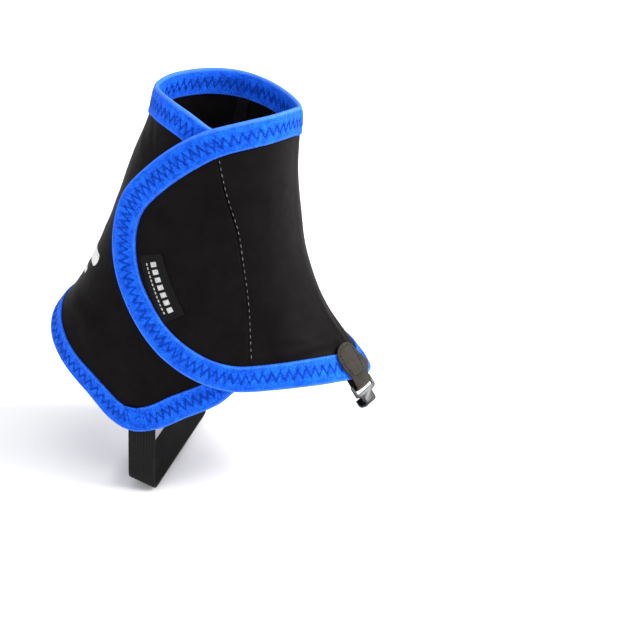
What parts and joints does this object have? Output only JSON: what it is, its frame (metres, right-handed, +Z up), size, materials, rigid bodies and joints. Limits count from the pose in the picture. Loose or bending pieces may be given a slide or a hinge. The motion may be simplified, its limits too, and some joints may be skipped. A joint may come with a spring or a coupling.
{
  "type": "ankle gaiter",
  "caption": "Low stretch ankle gaiter for trail running: wrap-round body with a side flap, edged hem and rim, strap under the sole and a front tab with a lace hook.",
  "frame": {"origin": "middle of the upper face of the strap that passes under the shoe's arch", "axes": "+X towards the toe, -Y to the outer side of the right foot, +Z up the leg"},
  "size_m": [0.1821, 0.1067, 0.2145],
  "materials": {
    "stretch_cloth": "smooth stretch knit over thin foam, soft sheen",
    "edging": "folded elastic edging with tone-on-tone zigzag stitching",
    "elastic_webbing": "ribbed woven elastic",
    "suede": "napped synthetic suede",
    "closure_tape": "napped closure tape",
    "hook_metal": "dark satin plated steel",
    "label_satin": "woven satin",
    "print_film": "matt transfer film",
    "seam_thread": "twisted polyester thread"
  },
  "bodies": {
    "gaiter": {"rear_panel": "stretch_cloth", "front_panel": "stretch_cloth", "rear_rim_binding": "edging", "rear_hem_binding": "edging", "front_hem_binding": "edging", "front_rim_binding": "edging", "underlap_binding": "edging", "medial_seam_tape": "closure_tape", "loop_patch": "closure_tape", "seam_thread": "seam_thread", "back_print_ring": "print_film", "back_print_bar": "print_film", "back_print_line": "print_film", "strap_anchor_lateral": "edging", "strap_anchor_medial": "edging", "lace_tab": "suede"},
    "flap": {"closure_flap": "stretch_cloth", "flap_binding": "edging", "hook_patch": "closure_tape", "woven_label": "label_satin"},
    "strap": {"sole_strap": "elastic_webbing"},
    "hook": {"lace_hook": "hook_metal"}
  },
  "joints": [
    {"name": "flap_peel", "type": "hinge", "parent": "gaiter", "child": "flap", "pos_m": [0.047, -0.0456, 0.1345], "axis": [-0.177, 0.0255, 0.9839], "range_deg": [0, 120]},
    {"name": "strap_swing", "type": "hinge", "parent": "gaiter", "child": "strap", "pos_m": [0, 0, 0.044], "axis": [0, 1, 0], "range_deg": [-35, 35]},
    {"name": "hook_swivel", "type": "hinge", "parent": "gaiter", "child": "hook", "pos_m": [0.1085, -0.01131, 0.06314], "axis": [-0.3261, -0.9406, -0.0942], "range_deg": [-15, 45]}
  ]
}
